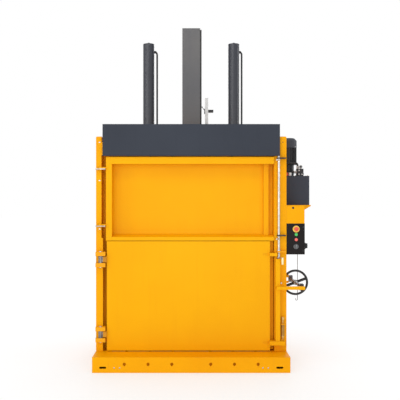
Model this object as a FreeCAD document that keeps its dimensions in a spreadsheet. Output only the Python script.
import FreeCAD, Part
import math
import os
import re

import Sketcher

# Upright recycling baler. Millimetres, +Z up, +Y towards the back, +X to the right.
# The origin is on the floor, under the middle of the base. The doors and the
# operator's side face -Y, and every moving piece is drawn at its rest place.

Vector = FreeCAD.Vector

# Driving sizes in millimetres; a count or an angle says so beside it
SIZES = {
    # Whole machine
    "side_width": 114,  # post and skid outside the chamber, on each side
    "base_height": 138,  # top of the skids above the floor
    "chamber_width": 1524,  # between the side walls
    "chamber_depth": 762,  # doors to rear wall, inside
    "wall_sheet": 10,  # side and rear wall plate
    "running_gap": 0.3,  # between pieces that slide or turn past each other
    "shaft_fit": 0.05,  # radial clearance of a pin in its hole

    # Base and floor
    "skid_width": 147,  # each side skid
    "skid_wall": 8,  # skid tube wall
    "front_beam_sheet": 10,  # face plate of the front beam
    "floor_plate_depth": 208,  # floor plate in front of the slats, front to back
    "floor_plate_sheet": 12,  # floor plate thickness
    "rear_beam_depth": 50,  # rear beam, front to back
    "cross_beam_width": 60,  # cross beams under the floor slats
    "cross_beam_pitch": 350,  # spacing of the cross beams
    "slat_height": 80,  # floor slat, top to bottom
    "slat_wall": 8,  # wall of every hollow slat
    "groove_width": 24,  # strap groove between two floor slats
    "middle_groove": 172,  # middle grooves from the centre line
    "groove_pitch": 209.5,  # from one strap groove to the next
    "strap_hole_radius": 14,  # round part of a strap hole in the front beam
    "strap_hole_height": 77,  # strap hole centre above the floor
    "bolt_hole_radius": 7,  # front bolt holes
    "bolt_hole_spacing": 48,  # the two bolt holes of a pair
    "bolt_pair_inset": 72,  # bolt pair from the end of the front beam
    "bolt_hole_height": 44,  # bolt holes above the floor
    "lift_slot_length": 62,  # lifting slot in the skid's end
    "lift_slot_width": 18,  # lifting slot, top to bottom
    "lift_slot_inset": 94,  # lifting slot's middle from the skid's outer side
    "lift_slot_height": 46,  # lifting slot's middle above the floor

    # Side posts and walls
    "post_setback": 226,  # front of the posts behind the front of the base
    "post_rise": 26,  # posts above the crosshead's underside
    "post_sheet": 10,  # folded plate of the posts
    "post_flange": 50,  # front flange of the left post, upper part
    "lower_flange_extra": 14,  # front flange of the left post is wider below
    "flange_rise": 29,  # wider flange above the lower door
    "post_lip": 54,  # outer return of a post, front to back
    "post_inner_gap": 2,  # right post outside the chamber wall's inner face
    "post_corner": 12,  # rounded top corner of a post
    "post_slot_length": 18,  # small slots in the left post, along X
    "post_slot_width": 9,  # small slots in the left post, along Z
    "post_slot_inset": 32,  # small slots from the post's outer side
    "post_slot_rise": 111,  # lowest slot above the lower door
    "post_slot_drop": 217,  # middle slot below the upper door's top
    "post_slot_margin": 53,  # highest slot below the post's top
    "door_back_gap": 6,  # walls behind the inner face of the doors
    "rib_first": 290,  # lowest side rib above the floor
    "rib_pitch": 330,  # from one rib to the next
    "rib_height": 60,  # rib, top to bottom
    "rib_reach": 80,  # side rib out from the wall plate
    "rear_rib_reach": 24,  # rear rib out from the wall plate
    "rib_sheet": 6,  # rib plate
    "lining_depth": 24,  # slats on the rear wall and on the lower door
    "lining_drop": 6,  # rear slats below the lower door's top

    # Hood, header and crosshead
    "hood_overlap": 50,  # hood beyond the chamber on each side
    "hood_gap": 9,  # hood above the upper door
    "hood_height": 290,  # hood, top to bottom
    "hood_proud": 30,  # hood in front of the posts
    "hood_sheet": 4,  # hood sheet
    "hood_top_return": 120,  # top return of the hood, front to back
    "header_depth": 50,  # front header tube, front to back
    "header_rise": 8,  # header above the hood's lower edge
    "header_height": 120,  # front header tube, top to bottom
    "beam_wall": 10,  # wall of header and crosshead
    "crosshead_gap": 5,  # crosshead above the rod flanges at rest
    "crosshead_height": 115,  # crosshead, top to bottom
    "crosshead_depth": 200,  # crosshead, front to back
    "collar_rim": 12,  # guide collar outside the mast and its strip
    "guide_collar_height": 50,  # guide collar above the crosshead
    "mast_play": 2,  # between mast and guide on each side

    # Cylinders and ram
    "cylinder_offset": 425,  # cylinder from the centre line
    "cylinder_radius": 56,  # cylinder tube, outside
    "cylinder_bore": 45,  # cylinder tube, inside radius
    "cylinder_length": 998,  # cylinder tube, top to bottom
    "cylinder_head": 24,  # cylinder head thickness
    "gland_length": 40,  # rod gland at the lower end
    "cylinder_flange": 140,  # square mounting flange
    "cylinder_flange_sheet": 20,  # mounting flange thickness
    "nipple_radius": 10,  # bleed nipple on the head
    "nipple_height": 16,  # bleed nipple above the head
    "pipe_radius": 9,  # steel oil pipe beside a cylinder
    "pipe_offset": 82,  # pipe to the right of its cylinder
    "pipe_back": 34,  # pipe behind its cylinder
    "pipe_drop": 69,  # pipe elbow below the cylinder's top
    "rod_radius": 30,  # piston rod
    "piston_length": 40,  # piston
    "piston_drop": 10,  # top of the piston under the head at rest
    "rod_flange_radius": 60,  # flange between rod and platen
    "rod_flange_sheet": 15,  # rod flange thickness
    "platen_gap": 7,  # platen to the chamber on each side
    "platen_rise": 12,  # platen at rest above the upper door
    "platen_slat": 40,  # platen slats, top to bottom
    "platen_groove": 20,  # strap groove between two platen slats
    "platen_sheet": 12,  # platen plate
    "platen_frame": 78,  # ribs on the platen, top to bottom
    "platen_rib": 10,  # platen rib thickness
    "mast_width": 176,  # square guide mast
    "mast_wall": 8,  # mast tube wall
    "mast_above": 139,  # mast above the cylinders
    "mast_strip_width": 15,  # switching strip on the mast's right side
    "mast_strip_depth": 60,  # switching strip, front to back
    "mast_foot": 220,  # square foot plate of the mast

    # Doors
    "door_proud": 12,  # door faces in front of the posts
    "door_thickness": 126,  # door, front face to inner face
    "door_overlap": 13,  # doors beyond the chamber at the hinge side
    "upper_door_extra": 8,  # upper door beyond the lower one at the hinge side
    "lower_door_inset": 39,  # lower door's front plate short of the chamber wall
    "rebate_gap": 2,  # lower door's rebate short of the chamber wall
    "slat_end_gap": 5,  # lower door slats inside the left chamber wall
    "rebate_depth": 56,  # rebate at the lower door's right edge
    "door_floor_gap": 7,  # lower door above the floor
    "lower_door_height": 1004,  # lower door, top to bottom
    "door_split": 5,  # between the two doors
    "upper_door_height": 769,  # upper door, top to bottom
    "door_wall": 6,  # plate of the hollow door members
    "panel_sheet": 10,  # panel of the upper door
    "top_rail": 65,  # top rail of the upper door
    "sill_front": 33,  # sill of the upper door, at its front face
    "sill_rise": 20,  # how much the sill's top slopes up towards the panel
    "left_stile": 54,  # left stile of the upper door
    "right_stile": 46,  # right stile of the upper door
    "right_stile_inset": 42,  # right stile from the door's right edge
    "right_stile_setback": 80,  # right stile behind the front face
    "arm_pocket_length": 46,  # pocket in the lower door beside each lock lug
    "arm_pocket_width": 18,  # pocket, top to bottom
    "arm_pocket_depth": 4,  # pocket depth
    "arm_pocket_inset": 18,  # pocket from the front plate's right edge

    # Hinges
    "hinge_inset": 45,  # hinge line from the outer side of the left post
    "hinge_proud": 24,  # hinge line in front of the posts
    "hinge_pin_radius": 10,  # hinge pins
    "knuckle_radius": 19,  # door knuckles of the lower hinges
    "lower_lug": 37,  # thickness of a lower hinge lug
    "lower_hinge_opening": 64,  # between the two lugs of a lower hinge
    "lower_hinge_rise": 152,  # lowest hinge above the door's bottom
    "lower_hinge_drop": 166,  # lower door's upper hinge below its top
    "strap_height": 50,  # strap from a knuckle to the door
    "strap_front": 8,  # strap in front of the hinge line
    "strap_back": 18,  # strap behind the hinge line
    "strap_elbow": 28,  # where the strap turns back beside the door
    "strap_weld": 48,  # strap welded along the door edge, front to back
    "upper_pin_drop": 8,  # pin of an upper leaf below its lug
    "upper_lug": 12,  # thickness of an upper hinge lug and leaf
    "upper_hinge_rise": 140,  # upper door's lower hinge above its bottom
    "upper_hinge_drop": 106,  # highest hinge below the door's top
    "lug_left": 43,  # lug to the left of the hinge line
    "lug_right": 46,  # lug to the right of the hinge line
    "lug_front": 22,  # lug in front of the hinge line
    "pin_head": 6,  # head of a hinge pin
    "pin_head_extra": 5,  # pin head radius over the pin's

    # Lower door lock
    "lock_bar_size": 42,  # square tube of the lock bar
    "lock_bar_wall": 6,  # wall of the lock bar
    "lock_bar_gap": 6,  # lock bar in front of the right post
    "lock_bar_inset": 6,  # lock bar from the right post's inner edge
    "lock_bar_rise": 94,  # lock bar above the lower door's bottom
    "lock_bar_drop": 160,  # lock bar below the lower door's top
    "lock_lug_lap": 9,  # lock lugs over the lower door's front plate
    "lock_lug_reach": 14,  # upper lock lug past the bar's left side
    "lock_lug_front": 58,  # lock lugs in front of the posts
    "upper_lock_lug": 28,  # thickness of the upper lock lug
    "lower_lock_lug": 37,  # thickness of the lower lock lug
    "lock_neck_width": 14,  # neck, across
    "lock_neck_depth": 12,  # neck, front to back
    "lock_neck": 26,  # neck between the bar and the upper lug
    "wheel_arm_inset": 6,  # wheel arm's end from the bar's left side
    "wheel_arm_reach": 38,  # wheel arm in front of the lock bar
    "wheel_arm_height": 28,  # wheel arm, top to bottom
    "screw_outboard": 136,  # locking screw outside the right post
    "screw_rise": 582,  # locking screw above the lower door's bottom
    "arm_eye": 20,  # radius of the arm's eye
    "arm_pin_radius": 10,  # pin through the arm's eye
    "arm_pin_proud": 18,  # arm pin in front of the posts
    "clevis_cheek": 12,  # thickness of a clevis cheek
    "clevis_width": 42,  # clevis, across the screw
    "clevis_boss_start": 32,  # boss of the clevis behind the pin
    "clevis_boss": 40,  # boss of the clevis, along the screw
    "screw_radius": 13,  # locking screw
    "screw_collar_radius": 17,  # collars of the locking screw
    "screw_collar": 8,  # collar, along the screw
    "screw_head_radius": 14,  # first collar, between the clevis cheeks
    "screw_tail": 36,  # screw behind the nut at rest
    "wheel_plane": 338,  # handwheel's middle behind the pin
    "wheel_radius": 125,  # handwheel, outside
    "wheel_rim": 11,  # radius of the handwheel's rim
    "wheel_hub_radius": 24,  # hub of the handwheel
    "wheel_hub": 44,  # hub, along the screw
    "wheel_spoke": 27,  # spoke, across
    "wheel_spoke_tilt": 20.6,  # degrees that the spokes rise to the right
    "keeper_front": 575,  # keeper plate behind the pin
    "keeper_sheet": 12,  # keeper plate thickness
    "keeper_clear": 27,  # keeper's edge short of the screw at rest
    "keeper_below": 37,  # keeper below the screw
    "keeper_above": 48,  # keeper above the screw
    "keeper_slot": 36,  # slot of the keeper, top to bottom
    "keeper_slot_depth": 31,  # slot from the keeper's edge to its round end's centre
    "nut_gap": 24,  # cross nut behind the keeper at rest
    "nut_width": 40,  # cross nut, across
    "nut_height": 66,  # cross nut, top to bottom
    "nut_length": 40,  # cross nut, along the screw

    # Upper door latch
    "latch_inset": 38,  # latch rod from the right post's inner edge
    "latch_proud": 24,  # latch rod in front of the posts
    "latch_radius": 10,  # latch rod
    "latch_gap": 6,  # latch rod above the lock bar
    "latch_top_gap": 4,  # latch rod below the hood
    "latch_collar_radius": 15,  # collars of the latch rod
    "latch_collar": 10,  # collar, top to bottom
    "finger_length": 52,  # latch finger from the rod's axis
    "finger_width": 12,  # latch finger, across
    "finger_height": 12,  # latch finger, top to bottom
    "finger_rise": 11,  # lower finger above the upper door's bottom
    "finger_drop": 38,  # upper finger below the upper door's top
    "finger_turn": 62,  # degrees that the fingers stand open at rest
    "guide_sheet": 12,  # latch rod guides
    "guide_gap": 5,  # lowest guide above the upper lock lug
    "guide_clear_low": 19,  # middle guide above the lower finger
    "guide_clear_high": 7,  # highest guide above the upper finger
    "guide_left": 16,  # guide to the left of the rod's axis
    "guide_right": 64,  # guide to the right of the rod's axis
    "guide_front": 18,  # guide in front of the rod's axis
    "lever_reach": 70,  # latch lever from the rod's axis to its grip
    "lever_turn": -70,  # degrees from +X to the lever at rest
    "lever_width": 16,  # latch lever, across
    "lever_sheet": 10,  # latch lever
    "grip_radius": 9,  # latch grip
    "grip_length": 62,  # latch grip, top to bottom

    # Safety catch on the right post
    "catch_beside_latch": 35,  # catch bolt to the right of the latch rod
    "catch_radius": 7,  # catch bolt
    "catch_hole_play": 3.5,  # catch bolt in the lock lug's hole
    "catch_gap": 4,  # catch bolt above the lower lock lug at rest
    "catch_knob_rise": 34,  # room under the catch knob at rest
    "catch_knob_radius": 12,  # catch knob
    "catch_knob": 26,  # catch knob, top to bottom
    "catch_lug": 8,  # catch bracket lugs
    "catch_lug_half": 18,  # catch bracket, half its width
    "catch_lug_front": 18,  # catch bracket in front of the bolt's axis
    "catch_lug_rise": 5,  # lower bracket lug above the lower lock lug
    "catch_span": 144,  # from bracket lug to bracket lug
    "catch_stroke": 29,  # room under the catch collar at rest
    "catch_collar": 6,  # catch collar, top to bottom
    "catch_collar_radius": 16,  # catch collar
    "spring_radius": 14,  # catch spring, to the middle of the wire
    "spring_wire": 2,  # radius of the spring's wire
    "spring_turns": 9,  # turns of the catch spring

    # Control side
    "box_width": 170,  # control box, across
    "box_depth": 140,  # control box, front to back
    "box_height": 285,  # control box, top to bottom
    "console_height": 157,  # console bracket, top to bottom
    "box_corner": 8,  # rounded edges of the control box
    "button_column": 88,  # buttons from the control box's left side
    "estop_drop": 51,  # emergency stop below the box's top
    "start_drop": 50,  # start button below the emergency stop
    "stop_drop": 47,  # stop button below the start button
    "selector_drop": 64,  # key selector below the stop button
    "estop_collar_radius": 31,  # yellow collar of the emergency stop
    "estop_collar_depth": 10,  # collar, front to back
    "mushroom_radius": 20,  # head of the emergency stop
    "mushroom_stem": 9,  # stem of the emergency stop
    "button_radius": 14,  # start and stop buttons
    "bezel_radius": 18,  # ring round each button
    "bezel_depth": 6,  # button ring, front to back
    "button_proud": 5,  # button in front of its ring
    "socket_depth": 22,  # depth of the button sockets
    "mushroom_depth": 12,  # head of the emergency stop, front to back
    "estop_travel": 8,  # gap behind the emergency stop's head
    "button_inside": 12,  # button and stem behind the box's front
    "box_wall": 4,  # control box plate
    "knob_depth": 9,  # turning part of the selector and the isolator
    "knob_bar": 12,  # grip bar of a knob, across
    "knob_bar_depth": 14,  # grip bar of a knob, out from its disc
    "selector_radius": 20,  # key selector
    "isolator_base": 60,  # square base of the isolator
    "isolator_depth": 12,  # isolator base out from the box
    "isolator_rise": 75,  # isolator above the box's bottom
    "isolator_radius": 24,  # isolator handle
    "console_width": 166,  # console bracket, across
    "tray_above_rib": 158,  # tank tray above the fourth rib
    "console_depth": 156,  # console bracket, front to back
    "console_sheet": 6,  # console bracket plate
    "console_hole": 6,  # radius of the hole in the console
    "console_hole_inset": 61,  # hole from the console's left side
    "console_hole_drop": 13,  # hole below the console's top
    "tray_sheet": 10,  # tank tray plate
    "tray_overhang": 123,  # wide part of the tray beyond the console
    "tray_front": -20,  # front edge of the wide part of the tray
    "tray_margin": 20,  # tray behind the tank
    "gusset_drop": 68,  # gusset under the tray
    "tank_gap": 9,  # oil tank outside the right post's line
    "tank_front": 20,  # oil tank behind the tray's wide front edge
    "tank_width": 272,  # oil tank, across
    "tank_depth": 400,  # oil tank, front to back
    "tank_height": 285,  # oil tank, top to bottom
    "tank_wall": 4,  # oil tank sheet
    "tank_corner": 14,  # rounded upright edges of the tank
    "motor_inset": 91,  # motor axis from the tank's left side
    "bell_radius": 60,  # bell housing
    "bell_height": 118,  # bell housing, top to bottom
    "motor_flange_radius": 92,  # motor flange
    "motor_flange": 12,  # motor flange, top to bottom
    "motor_radius": 78,  # motor body inside the fins
    "motor_height": 157,  # finned body, top to bottom
    "fin_count": 28,  # cooling fins
    "fin_reach": 9,  # cooling fins out from the body
    "fin_sheet": 4,  # cooling fin thickness
    "terminal_width": 90,  # terminal box, across
    "terminal_depth": 40,  # terminal box out from the fins
    "cowl_radius": 88,  # fan cowl
    "cowl_height": 97,  # fan cowl, top to bottom
    "cowl_dome": 24,  # rounded top edge of the cowl
    "cowl_sheet": 3,  # fan cowl sheet
    "cowl_slot_count": 12,  # air slots in the cowl's top
    "cowl_slot_inner": 18,  # air slots, inner radius
    "cowl_slot_outer": 58,  # air slots, outer radius
    "cowl_slot_width": 7,  # air slots, across
    "fan_radius": 66,  # motor fan
    "fan_height": 26,  # motor fan, top to bottom
    "fan_hub_radius": 20,  # motor fan hub
    "fan_blades": 7,  # blades of the motor fan
    "fan_blade": 4,  # blade thickness
    "fan_gap": 12,  # fan above the motor body
    "fan_shaft_radius": 8,  # motor shaft
    "valve_inset": 82,  # valve block's middle from the tank's right side
    "valve_setback": 80,  # valve block's middle behind the tank's front
    "valve_width": 60,  # valve block, across
    "valve_depth": 80,  # valve block, front to back
    "valve_height": 72,  # valve block, top to bottom
    "solenoid_radius": 15,  # solenoid on the valve block
    "solenoid_height": 62,  # solenoid, top to bottom
    "hose_port": 20,  # high hose to the left of the valve block's middle
    "gauge_radius": 17,  # pressure gauge
    "gauge_depth": 14,  # pressure gauge, front to back
    "gauge_offset": 5,  # gauge to the right of the valve block's middle
    "gauge_setback": 8,  # gauge behind the valve block's front
    "gauge_rise": 3,  # gauge case above the valve block
    "cap_inset": 52,  # oil filler cap from the tank's left side
    "cap_setback": 40,  # caps behind the tank's front
    "cap_pitch": 36,  # breather cap beside the filler cap
    "breather_radius": 15,  # breather cap on the tank
    "breather_height": 34,  # breather cap, top to bottom
    "hose_radius": 10,  # hydraulic hoses
    "hose_fitting_radius": 13,  # hose fittings
    "hose_fitting": 14,  # hose fitting, along the hose
    "high_hose_rise": 129,  # high hose above the tank
    "low_hose_rise": 40,  # low hose above the tank

    # Mast switch and threading hook
    "switch_bracket_gap": 20,  # switch bracket beside the guide collar
    "switch_bracket_width": 32,  # switch bracket, across
    "switch_bracket_sheet": 5,  # switch bracket
    "switch_bracket_height": 332,  # switch bracket above the crosshead
    "switch_drop": 127,  # switch lever's pivot below the bracket's top
    "switch_pivot_inset": 5,  # lever's pivot from the bracket's left side
    "switch_roller_gap": 0.5,  # roller beside the mast's strip
    "switch_roller_rise": 48,  # switch roller above the pivot
    "switch_roller_radius": 5,  # switch roller
    "switch_roller_width": 10,  # switch roller, front to back
    "switch_head": 36,  # head of the switch, across
    "switch_head_height": 44,  # head of the switch, top to bottom
    "switch_head_left": 12,  # head to the left of the pivot
    "switch_tail": 54,  # narrow end of the switch, across
    "switch_tail_height": 22,  # narrow end, top to bottom
    "switch_depth": 60,  # switch, front to back
    "switch_pin_radius": 4,  # shaft of the switch lever
    "switch_arm": 6,  # switch lever sheet
    "switch_boss_radius": 8,  # boss of the switch lever
    "hook_inset": 60,  # threading hook from the tray's outer edge
    "hook_setback": 40,  # threading hook in front of the tray's rear edge
    "hook_radius": 3,  # wire of the threading hook
    "hook_length": 986,  # threading hook below the tray
    "hook_bend": 10,  # bend radius of the hook and of its eye
    "hook_peg_radius": 5,  # peg that carries the threading hook
}

# Places that follow from the sizes; the sheet works them out
PLACES = {
    "overall_width": "chamber_width+2*side_width",  # across the two side posts and the base
    # base, front to back
    "base_depth": "post_setback-door_proud+door_thickness+chamber_depth"
        "+lining_depth+wall_sheet+rear_rib_reach",
    # inner edge of the right post from the centre line
    "right_post_inner": "chamber_width/2"
        "+post_inner_gap",
    "hood_half_width": "chamber_width/2+hood_overlap",  # hood, half its width
    "door_left": "chamber_width/2+door_overlap",  # left edge of the lower door from the centre line
    "upper_door_left": "door_left+upper_door_extra",  # left edge of the upper door
    "lower_door_right": "chamber_width/2-lower_door_inset",  # right edge of the lower door's front plate
    "lower_door_inner": "chamber_width/2-rebate_gap",  # right edge of the lower door behind its rebate
    "upper_door_right": "chamber_width/2",  # right edge of the upper door
    "lock_bar_x": "right_post_inner+lock_bar_inset",  # left side of the lock bar
    "lock_lug_left": "lower_door_right-lock_lug_lap",  # left end of the lock lugs
    "lock_lug_right": "lock_bar_x+lock_lug_reach",  # right end of the upper lock lug
    "latch_x": "right_post_inner+latch_inset",  # latch rod from the centre line
    "catch_x": "latch_x+catch_beside_latch",  # catch bolt from the centre line
    "catch_lug_right": "catch_x+catch_lug_half",  # right end of the lower lock lug
    "wheel_arm_left": "lock_bar_x+wheel_arm_inset",  # left end of the wheel arm
    "screw_x": "overall_width/2+screw_outboard",  # locking screw from the centre line
    "keeper_reach": "screw_x-keeper_clear",  # outer edge of the keeper
    "keeper_slot_end": "keeper_reach-keeper_slot_depth",  # inner end of the keeper's slot, at its centre
    "button_x": "overall_width/2+button_column",  # column of buttons from the centre line
    "console_hole_x": "overall_width/2+console_hole_inset",  # console hole from the centre line
    "tray_reach": "overall_width/2+console_width+tray_overhang",  # outer edge of the tank tray
    "tank_left": "overall_width/2+tank_gap",  # left side of the oil tank
    "motor_x": "tank_left+motor_inset",  # motor axis from the centre line
    "valve_x": "tank_left+tank_width-valve_inset",  # valve block from the centre line
    "cap_x": "tank_left+cap_inset",  # oil filler cap from the centre line
    "hook_x": "tray_reach-hook_inset",  # threading hook from the centre line
    # middle of a bolt pair from the centre line
    "bolt_pair_offset": ""
        "+overall_width/2-skid_width-bolt_pair_inset",
    # rear end of the screw behind the pin
    "screw_end": "keeper_front+keeper_sheet"
        "+nut_gap+nut_length+screw_tail",
    "tray_back": "tray_front+tank_front+tank_depth+tray_margin",  # rear edge of the tray
    "motor_y": "tray_front+tank_front+tank_depth/2",  # motor axis from the middle of the machine
    "valve_y": "tray_front+tank_front+valve_setback",  # valve block from the middle of the machine
    "cap_y": "tray_front+tank_front+cap_setback",  # both caps behind the middle of the machine
    "hook_y": "tray_back-hook_setback",  # threading hook from the middle of the machine
    "lower_door_bottom": "base_height+door_floor_gap",  # bottom of the lower door
    "lower_door_top": "lower_door_bottom+lower_door_height",  # top of the lower door
    "upper_door_bottom": "lower_door_top+door_split",  # bottom of the upper door
    "upper_door_top": "upper_door_bottom+upper_door_height",  # top of the upper door
    "hood_bottom": "upper_door_top+hood_gap",  # bottom edge of the hood
    "hood_top": "hood_bottom+hood_height",  # top edge of the hood
    "header_bottom": "hood_bottom+header_rise",  # front header tube, bottom
    "platen_bottom": "upper_door_top+platen_rise",  # underside of the platen at rest
    # bottom of the crosshead
    "crosshead_bottom": "platen_bottom+platen_slat+platen_sheet"
        "+platen_frame+rod_flange_sheet+crosshead_gap",
    "post_top": "crosshead_bottom+post_rise",  # top of the posts above the floor
    "cylinder_top": "crosshead_bottom+cylinder_length",  # top of the cylinder head
    "pipe_top": "cylinder_top-pipe_drop",  # upper elbow of the pipe
    "mast_top": "cylinder_top+mast_above",  # top of the mast at rest
    "lining_top": "lower_door_top-lining_drop",  # top of the rear slats
    "lower_flange_top": "lower_door_top+flange_rise",  # top of the wider part of the left flange
    "post_slot_low": "lower_door_top+post_slot_rise",  # lowest small slot
    "post_slot_middle": "upper_door_top-post_slot_drop",  # middle small slot
    "post_slot_high": "post_top-post_slot_margin",  # highest small slot, and the hole in the right post
    "lock_bar_low": "lower_door_bottom+lock_bar_rise",  # bottom of the lock bar
    "lock_bar_high": "lower_door_top-lock_bar_drop",  # top of the lock bar
    "lower_hinge_low": "lower_door_bottom+lower_hinge_rise",  # middle of the lowest hinge
    "lower_hinge_high": "lower_door_top-lower_hinge_drop",  # middle of the lower door's upper hinge
    "upper_hinge_low": "upper_door_bottom+upper_hinge_rise",  # lower hinge of the upper door
    "upper_hinge_high": "upper_door_top-upper_hinge_drop",  # upper hinge of the upper door
    "screw_height": "lower_door_bottom+screw_rise",  # locking screw above the floor
    "keeper_low": "screw_height-keeper_below",  # bottom of the keeper
    "keeper_high": "screw_height+keeper_above",  # top of the keeper
    "latch_low": "lock_bar_high+latch_gap",  # lower end of the latch rod
    "latch_high": "hood_bottom-latch_top_gap",  # upper end of the latch rod
    "guide_bottom": "lock_bar_high+lock_neck+upper_lock_lug+guide_gap",  # lowest guide
    "finger_low": "upper_door_bottom+finger_rise",  # lower latch finger
    "finger_high": "upper_door_top-finger_drop",  # upper latch finger
    "guide_middle": "finger_low+finger_height+guide_clear_low",  # middle guide
    "guide_top": "finger_high+finger_height+guide_clear_high",  # highest guide
    "catch_tip": "lock_bar_low+catch_gap",  # lower end of the catch bolt at rest
    "catch_lug_low": "lock_bar_low+catch_lug_rise",  # lower bracket lug
    "catch_lug_high": "catch_lug_low+catch_span",  # upper bracket lug
    "catch_collar_low": "catch_lug_low+catch_lug+catch_stroke",  # collar of the catch bolt at rest
    "catch_knob_low": "catch_lug_high+catch_lug+catch_knob_rise",  # underside of the catch knob at rest
    "console_high": "rib_first+3*rib_pitch+rib_height/2+tray_above_rib",  # top of the console bracket
    "box_high": "console_high-console_height",  # top of the control box
    "box_low": "box_high-box_height",  # bottom of the control box
    "estop_height": "box_high-estop_drop",  # emergency stop above the floor
    "start_height": "estop_height-start_drop",  # start button above the floor
    "stop_height": "start_height-stop_drop",  # stop button above the floor
    "selector_height": "stop_height-selector_drop",  # key selector above the floor
    "isolator_height": "box_low+isolator_rise",  # isolator above the floor
    "console_hole_height": "console_high-console_hole_drop",  # console hole above the floor
    # pressure gauge above the floor
    "gauge_height": "console_high+tray_sheet"
        "+tank_height+valve_height+gauge_radius+gauge_rise",
    "high_hose": "console_high+tray_sheet+tank_height+high_hose_rise",  # upper hose above the floor
    "low_hose": "console_high+tray_sheet+tank_height+low_hose_rise",  # lower hose above the floor
    "hook_low": "console_high-hook_length",  # lowest point of the threading hook
    "guide_collar": "mast_width+2*mast_strip_width+2*collar_rim",  # square guide collar round the mast
    # top of the switch bracket
    "switch_bracket_top": "crosshead_bottom"
        "+crosshead_height+switch_bracket_height",
    "switch_height": "switch_bracket_top-switch_drop",  # switch lever's pivot above the floor
    "switch_bracket_x": "guide_collar/2+switch_bracket_gap",  # left side of the switch bracket
    "switch_pivot_x": "switch_bracket_x+switch_pivot_inset",  # switch lever's pivot from the centre line
    # switch roller from the centre line
    "switch_roller_x": "mast_width/2+mast_strip_width"
        "+switch_roller_radius+switch_roller_gap",
}

doc = FreeCAD.newDocument("recycling_baler")
sheet = doc.addObject("Spreadsheet::Sheet", "sizes")
entries = [(alias, str(number)) for alias, number in SIZES.items()]
entries += [(alias, "=" + formula) for alias, formula in PLACES.items()]
for row, (alias, entry) in enumerate(entries, start=1):
    sheet.set(f"A{row}", alias.replace("_", " "))
    sheet.set(f"B{row}", entry)
    sheet.setAlias(f"B{row}", alias)
doc.recompute()

WORDS = re.compile(r"(?<![\w.])(" + "|".join(sorted([*SIZES, *PLACES], key=len, reverse=True)) + r")(?!\w)")


def cells(text):
    """Turn size names into references to the sheet."""
    return WORDS.sub(r"sizes.\1", str(text))


working = doc.addObject("Spreadsheet::Sheet", "working")


def value(text):
    """The present value of an expression of sizes, in millimetres."""
    working.set("A1", "=" + cells(text))
    working.recompute()
    return float(working.get("A1"))


# Places that many pieces share, as expressions of the sizes
HALF = "(overall_width/2)"
CHAMBER = "(chamber_width/2)"
FRONT = "(-base_depth/2)"
BACK = "(base_depth/2)"
POST = "(post_setback-base_depth/2)"
DOOR = f"({POST}-door_proud)"
INNER = f"({DOOR}+door_thickness)"
REAR = f"({INNER}+chamber_depth)"
CENTRE = f"({INNER}+chamber_depth/2)"
WALL_FRONT = f"({INNER}+door_back_gap)"
WALL_BACK = f"({REAR}+lining_depth)"
HINGE_X = f"(hinge_inset-{HALF})"
HINGE_Y = f"({POST}-hinge_proud)"
PIN_Y = f"({POST}-arm_pin_proud)"
LATCH_Y = f"({POST}-latch_proud)"
BAR_BACK = f"({POST}-lock_bar_gap)"
BAR_FRONT = f"({BAR_BACK}-lock_bar_size)"
PLATEN_TOP = "(platen_bottom+platen_slat+platen_sheet+platen_frame)"
CROSSHEAD_TOP = "(crosshead_bottom+crosshead_height)"
TANK_TOP = "(console_high+tray_sheet+tank_height)"
MOTOR_FOOT = f"({TANK_TOP}+bell_height)"
MOTOR_TOP = f"({MOTOR_FOOT}+motor_flange+motor_height)"

nodes = []


def node(piece, label):
    """Mark a finished piece as a sub-part of the machine."""
    piece.Label = label
    nodes.append(piece)
    return piece


def place(piece, x, y, z, axis=None, angle=0):
    """Tie a piece's place to the sheet, turned by an angle about an axis."""
    if axis is not None:
        piece.Placement = FreeCAD.Placement(Vector(), FreeCAD.Rotation(axis, value(angle)))
    for name, text in (("x", x), ("y", y), ("z", z)):
        piece.setExpression(f"Placement.Base.{name}", cells(text))
    return piece


def block(name, x, y, z, length, width, height, axis=None, angle=0):
    """A rectangular block whose lowest corner is at x, y, z."""
    piece = doc.addObject("Part::Box", name)
    piece.setExpression("Length", cells(length))
    piece.setExpression("Width", cells(width))
    piece.setExpression("Height", cells(height))
    return place(piece, x, y, z, axis, angle)


TURNS = {"X": (Vector(0, 1, 0), 90), "Y": (Vector(1, 0, 0), -90), "Z": (None, 0)}


def drum(name, x, y, z, radius, length, along="Z"):
    """A round bar that starts at x, y, z and runs along one axis."""
    piece = doc.addObject("Part::Cylinder", name)
    piece.setExpression("Radius", cells(radius))
    piece.setExpression("Height", cells(length))
    axis, angle = TURNS[along]
    return place(piece, x, y, z, axis, angle)


def join(name, *pieces):
    """Weld pieces into one solid."""
    piece = doc.addObject("Part::MultiFuse", name)
    piece.Shapes = list(pieces)
    return piece


def group(name, *pieces):
    """Keep like pieces as separate solids of one sub-part."""
    piece = doc.addObject("Part::Compound", name)
    piece.Links = list(pieces)
    return piece


def cut(name, base, *tools):
    """Take the tools away from a base."""
    piece = doc.addObject("Part::Cut", name)
    piece.Base = base
    piece.Tool = tools[0] if len(tools) == 1 else group(name + "_tools", *tools)
    return piece


def rounded(name, base, radius, chosen):
    """Round the edges of a base that a test chooses."""
    doc.recompute()
    amount = value(radius)
    piece = doc.addObject("Part::Fillet", name)
    piece.Base = base
    edges = base.Shape.Edges
    piece.Edges = [(i + 1, amount, amount) for i, edge in enumerate(edges) if chosen(edge)]
    return piece


def runs_along(direction):
    """A test for straight edges that run along one direction."""
    def test(edge):
        if edge.Curve.TypeId != "Part::GeomLine":
            return False
        return abs(abs(edge.Curve.Direction.dot(direction)) - 1) < 1e-6
    return test


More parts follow.
